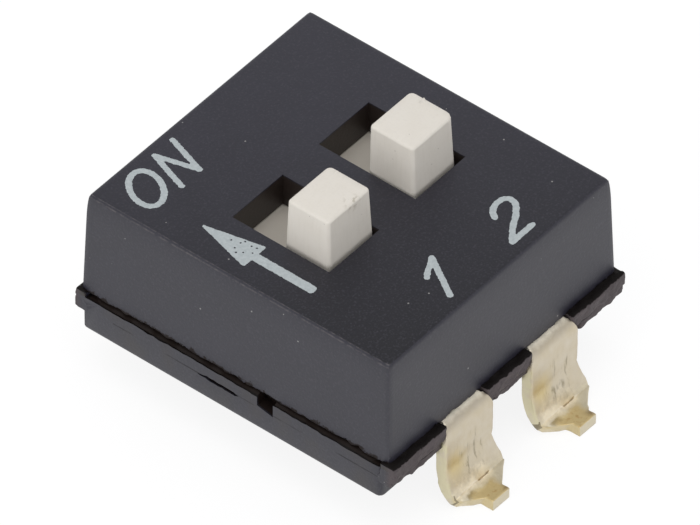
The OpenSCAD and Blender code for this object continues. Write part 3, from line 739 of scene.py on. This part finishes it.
# the crease is sharp only near its middle: the metal swells on its left, and a little on its right
for reach, lift, out in ((CREASE_Y, 0.055, 0.015), (4.195, 0.060, 0.0), (4.285, 0.030, 0.0), (4.130, 0.02, 0.012)):
    pick(leg, "VERT", lambda at, way: close(at.y, -reach, 0.003) and at.z > 0.2 and -0.66 < at.x < 0.02)
    bpy.ops.transform.translate(value=(0, -out, lift))
    pick(leg, "VERT", lambda at, way: close(at.y, -reach, 0.003) and at.z > 0.2 and at.x > 0.36)
    bpy.ops.transform.translate(value=(0, -out / 2, lift / 2))

# soften the stamped edges, then let the flats wander a little, as bent strip does
apply(leg, "BEVEL", width=0.035, segments=2, limit_method="ANGLE", angle_limit=math.radians(50))
apply(leg, "SUBSURF", subdivision_type="SIMPLE", levels=1, render_levels=1)
waves = bpy.data.textures.new("hammer_marks", "CLOUDS")
waves.noise_scale = 0.30
apply(leg, "DISPLACE", texture=waves, texture_coords="LOCAL", strength=0.02, mid_level=0.5)

# a sharp fold line in the crease
fold = block("fold", (0.0, -CREASE_Y - 0.018, STRIP_T - 0.05), (0.34, -CREASE_Y + 0.016, STRIP_T + 0.04))
pick(fold, "EDGE", lambda at, way: at.z < STRIP_T and abs(way.x) > 0.9)
bpy.ops.transform.resize(value=(0.8, 0.3, 1), center_override=(0.17, -CREASE_Y, STRIP_T))
combine(leg, fold, "DIFFERENCE")

# brass strip, tin-gold plated: satin, drawn lines down the leg, gold where the plating thinned, brown at the toe,
# with painted highlights along the top of the knee and along the crease
plated_brass, tree, shader, place = fresh("plated_brass_strip")
spot = node(tree, "SeparateXYZ", {0: place})
turned = node(tree, "Math", {0: spot.outputs["X"], 1: PITCH * MM, 2: 0.0}, operation="WRAP")
aside = node(tree, "Math", {0: turned, 1: PITCH / 2 * MM}, operation="SUBTRACT")
away = node(tree, "Math", {0: spot.outputs["Y"]}, operation="ABSOLUTE")
blots = node(tree, "TexNoise", {"Vector": place, "Scale": 1 / (0.28 * MM), "Detail": 5.0, "Roughness": 0.65})
drawn = node(tree, "Mapping", {0: place, 3: (1.0, 1.0, 0.16)})
lines = node(tree, "TexNoise", {"Vector": drawn, "Scale": 1 / (0.07 * MM), "Detail": 4.0})


def zone(low, high, value, soft=0.06):
    """How far a coordinate lies inside a range, in millimetres, with soft ends that follow the blots."""
    value = node(tree, "Math", {0: blots, 1: BLOT * MM, 2: value}, operation="MULTIPLY_ADD")
    low, high = low + BLOT / 2, high + BLOT / 2
    rise = node(tree, "MapRange", {"Value": value, "From Min": (low - soft) * MM, "From Max": (low + soft) * MM})
    fall = node(tree, "MapRange", {"Value": value, "From Min": (high - soft) * MM, "From Max": (high + soft) * MM,
                                   "To Min": 1.0, "To Max": 0.0})
    return node(tree, "Math", {0: rise, 1: fall}, operation="MULTIPLY")


tone = stain(linear("#c6b99c"), "#d3cbbd", blots)
streak = node(tree, "MapRange", {"Value": lines, "From Min": 0.54, "From Max": 0.70})
x_at, y_at, z_at = aside, away, spot.outputs["Z"]
facing = node(tree, "SeparateXYZ", {0: node(tree, "NewGeometry").outputs["Normal"]})
upward = node(tree, "MapRange", {"Value": facing.outputs["Z"], "From Min": 0.3, "From Max": 0.7})
leftward = node(tree, "MapRange", {"Value": facing.outputs["X"], "From Min": -0.3, "From Max": -0.7})
foot = zone(4.14, 4.9, y_at, 0.04)
# painted highlight along the top of the knee, where it leaves the cover; the metal is dulled there so that it shows
knee_top_highlight = node(tree, "Math", {0: zone(3.3, 3.80, y_at), 1: zone(1.78, 2.1, z_at)}, operation="MULTIPLY")
tone = stain(tone, "#8f8671", 0.75, streak, zone(-0.35, 0.35, x_at), zone(0.45, 1.35, z_at, 0.15))
tone = stain(tone, "#d8c590", 0.7, zone(-0.66, -0.22, x_at, 0.15), zone(0.66, 1.20, z_at, 0.18), zone(3.9, 4.3, y_at))
tone = stain(tone, "#d6cfae", 0.8, zone(-0.85, -0.70, x_at, 0.02), zone(-0.1, 1.6, z_at))
tone = stain(tone, "#f6eedb", 0.9, knee_top_highlight)
tone = stain(tone, "#d9cfb4", 0.9, foot)
tone = stain(tone, "#d2bf8c", 0.8, foot, leftward)
rim_line = node(tree, "Math", {0: x_at, 1: -0.672 * MM, 2: 0.014 * MM}, operation="COMPARE")
low_part = node(tree, "Math", {0: z_at, 1: 0.22 * MM, 2: 0.14 * MM}, operation="COMPARE")
tone = stain(tone, "#6d6248", 0.8, rim_line, low_part)
tone = stain(tone, "#d8c28c", 0.95, foot, upward, zone(-0.45, 0.24, x_at, 0.08), zone(4.27, 4.9, y_at, 0.08))
tone = stain(tone, "#b98d4c", 0.6, foot, upward, streak, zone(-0.35, 0.1, x_at, 0.08), zone(4.35, 4.9, y_at, 0.08))
tone = stain(tone, "#8a7444", 0.6, foot, upward, zone(-0.50, -0.26, x_at, 0.04), zone(4.25, 4.37, y_at, 0.04))
# painted highlight: a pale band along the crease at the heel
tone = stain(tone, "#f6ead0", 0.9, zone(-0.60, 0.33, x_at, 0.10), zone(4.10, 4.25, y_at, 0.05))
tone = stain(tone, "#6b4c22", 0.6, zone(0.14, 0.6, x_at), zone(4.58, 4.72, y_at), upward)
tree.links.new(tone, shader.inputs["Base Color"])
dulled = node(tree, "Math", {0: foot, 1: knee_top_highlight}, operation="MAXIMUM")
dulled = node(tree, "MapRange", {"Value": dulled, "To Min": 1.0, "To Max": 0.35})
tree.links.new(dulled.outputs["Result"], shader.inputs["Metallic"])
gloss = node(tree, "MapRange", {"Value": lines, "To Min": 0.30, "To Max": 0.52})
tree.links.new(gloss.outputs["Result"], shader.inputs["Roughness"])
bump = node(tree, "Bump", {"Height": lines, "Distance": 0.006 * MM, "Strength": 0.7})
bump = node(tree, "Bump", {"Height": blots, "Distance": 0.02 * MM, "Strength": 0.5, "Normal": bump})
tree.links.new(bump.outputs["Normal"], shader.inputs["Normal"])

# four copies: each runs in to its own contact pad, and the feet differ by how they were struck
for number, (x, (toe_across, toe_out, right_edge, left_edge)) in enumerate(zip(slider_x, STRUCK), 1):
    for name, side in (("front", -1), ("rear", 1)):
        low, high = (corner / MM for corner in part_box("%s_terminal_%d" % (name, number)))
        pad_end = -high.y if side < 0 else low.y
        copy = leg.copy()
        copy.data = leg.data.copy()
        copy.name = "%s_leg_%d" % (name, number)
        bpy.context.collection.objects.link(copy)
        pick(copy, "VERT", lambda at, way: at.y > -3.45)
        bpy.ops.transform.translate(value=(0, 3.4 - pad_end, 0))
        pick(copy, "VERT", lambda at, way: at.y < -4.5)
        bpy.ops.transform.translate(value=(toe_across, toe_out, 0))
        pick(copy, "VERT", lambda at, way: at.x > 0.55 and at.z > 0.95 and at.y < -3.75)
        bpy.ops.transform.translate(value=(right_edge, 0, 0))
        pick(copy, "VERT", lambda at, way: at.x < -0.55 and at.z < 0.60)
        bpy.ops.transform.translate(value=(left_edge, 0, 0))
        pick(copy, "VERT", lambda at, way: True)
        bpy.ops.transform.translate(value=(x, 0, 0))
        if side > 0:
            bpy.ops.transform.resize(value=(1, -1, 1), center_override=(0, 0, 0))
            bpy.ops.mesh.flip_normals()
        finish_piece(copy, plated_brass, "housing")
        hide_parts("%s_terminal_%d" % (name, number))
bpy.data.objects.remove(leg)

# ---------------------------------------------------------------------------
# Print. Pale grey ink, pad-printed on the cover: ON at the far side, an arrow
# that points to it, and the numbers of the two switches. The ink is thin and
# a little ragged, and the arrow's head has pinholes.
# ---------------------------------------------------------------------------
STROKE, THIN_STROKE = 0.13, 0.12
INK_HALF = 0.004                          # height of the ink over the cover

ink, tree, shader, place = fresh("pale_grey_pad_ink")
cloud = node(tree, "TexNoise", {"Vector": place, "Scale": 1 / (0.07 * MM), "Detail": 3.0, "Roughness": 0.6})
tone = stain(linear("#98a1a4"), "#c3cacb", cloud)
tree.links.new(tone, shader.inputs["Base Color"])
shader.inputs["Roughness"].default_value = 0.6
bump = node(tree, "Bump", {"Height": cloud, "Distance": 0.004 * MM})
tree.links.new(bump.outputs["Normal"], shader.inputs["Normal"])

ragged = bpy.data.textures.new("ragged_edge", "CLOUDS")
ragged.noise_scale = 0.045
top = cover_high.z


def ball(x, y, radius):
    """A round end for a stroke."""
    take()
    bpy.ops.mesh.primitive_uv_sphere_add(segments=16, ring_count=8, radius=radius, location=(x, y, 0))
    return bpy.context.object


def stroke(path, width=STROKE, closed=False):
    """A round-ended line through points, bent smoothly."""
    curve = bpy.data.curves.new("stroke", "CURVE")
    curve.dimensions = "3D"
    curve.bevel_depth = width / 2
    curve.bevel_resolution = 3
    curve.use_fill_caps = True
    line = curve.splines.new("BEZIER")
    line.bezier_points.add(len(path) - 1)
    line.use_cyclic_u = closed
    for point, (x, y) in zip(line.bezier_points, path):
        point.co = (x, y, 0)
        point.handle_left_type = point.handle_right_type = "AUTO"
    piece = bpy.data.objects.new("stroke", curve)
    bpy.context.collection.objects.link(piece)
    take(piece)
    bpy.ops.object.convert(target="MESH")
    return [piece] + ([] if closed else [ball(x, y, width / 2) for x, y in (path[0], path[-1])])


def print_ink(name, parts):
    """Melts the parts into one flat figure with a ragged outline, and lays it on the cover."""
    take()
    for part in parts:
        part.select_set(True)
    bpy.context.view_layer.objects.active = parts[0]
    bpy.ops.object.join()
    figure = bpy.context.object
    figure.name = name
    bpy.ops.object.transform_apply()
    apply(figure, "REMESH", mode="VOXEL", voxel_size=0.013)
    apply(figure, "DISPLACE", texture=ragged, texture_coords="LOCAL", strength=0.035, mid_level=0.5)
    pick(figure, "VERT", lambda at, way: True)
    bpy.ops.transform.resize(value=(1, 1, INK_HALF / (STROKE / 2)), center_override=(0, 0, 0))
    bpy.ops.transform.translate(value=(0, 0, top))
    finish_piece(figure, ink, "housing")


oval = []
for step in range(16):
    turn = math.radians(22.5 * step)
    oval.append((-2.44 + 0.34 * math.cos(turn) + 0.445 * 0.33 * math.sin(turn), 2.885 + 0.445 * math.sin(turn)))
print_ink("print_on", stroke(oval, closed=True)
          + stroke([(-1.975, 2.42), (-1.66, 3.33)], THIN_STROKE) + stroke([(-1.66, 3.33), (-1.42, 2.44)], THIN_STROKE)
          + stroke([(-1.42, 2.44), (-1.12, 3.35)], THIN_STROKE))
print_ink("print_1", stroke([(-1.06, -3.29), (-0.50, -2.39)])
          + stroke([(-0.97, -2.66), (-0.80, -2.55), (-0.66, -2.49), (-0.52, -2.40)], THIN_STROKE))
print_ink("print_2", stroke([(1.08, -2.62), (1.20, -2.48), (1.43, -2.41), (1.62, -2.47), (1.64, -2.62),
                             (1.47, -2.82), (1.10, -3.04), (0.78, -3.28)])
          + stroke([(0.78, -3.29), (1.37, -3.28)]))

shaft = block("shaft", (-2.67, -1.28, -0.06), (-2.47, 0.40, 0.06))
pick(shaft, "EDGE", lambda at, way: abs(way.z) > 0.9)
bpy.ops.mesh.bevel(offset=0.06, segments=4)
head = block("head", (-2.905, 0.15, -0.06), (-2.235, 1.43, 0.06))
pick(head, "EDGE", lambda at, way: at.y > 1.4)
bpy.ops.transform.resize(value=(0.06, 1, 1), center_override=(-2.54, 0, 0))
pick(head, "EDGE", lambda at, way: abs(way.z) > 0.9 and at.y < 0.5)
bpy.ops.mesh.bevel(offset=0.05, segments=3)
combine(head, shaft, "UNION")
for x, y in ((-2.50, 0.78), (-2.39, 0.38), (-2.37, 0.27), (-2.62, 0.40), (-2.52, 0.25), (-2.45, 0.60), (-2.37, 0.55),
             (-2.62, 0.60), (-2.70, 0.50)):
    take()
    bpy.ops.mesh.primitive_cylinder_add(vertices=10, radius=0.026, depth=0.5, location=(x, y, 0))
    combine(head, bpy.context.object, "DIFFERENCE")
print_ink("print_arrow", [head])

size = {"cad": [list(corner) for corner in cad_box], "visual": [list(corner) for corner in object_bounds()]}
